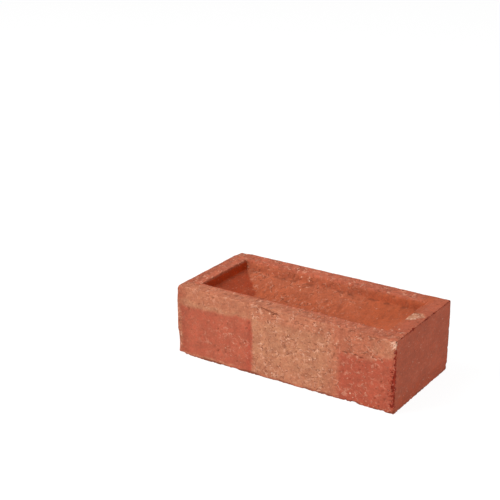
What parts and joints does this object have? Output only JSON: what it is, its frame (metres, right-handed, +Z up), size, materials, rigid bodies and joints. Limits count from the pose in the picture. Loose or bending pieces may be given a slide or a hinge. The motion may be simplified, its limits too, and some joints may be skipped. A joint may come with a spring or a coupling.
{
  "type": "frogged clay brick",
  "caption": "Red pressed clay building brick lying on its bed, with a rectangular frog in the upper bed: a short steep step and a floor hipped down to a valley that holds mortar.",
  "frame": {"origin": "centre of the lower bed face, on the surface that the brick lies on", "axes": "+X along the 215 mm length, +Y across the width, +Z up through the bed faces towards the frog"},
  "size_m": [0.215, 0.1024, 0.065],
  "materials": {
    "fired_clay": "rough, sanded and unglazed"
  },
  "bodies": {
    "root": {"brick": "fired_clay"}
  },
  "joints": []
}
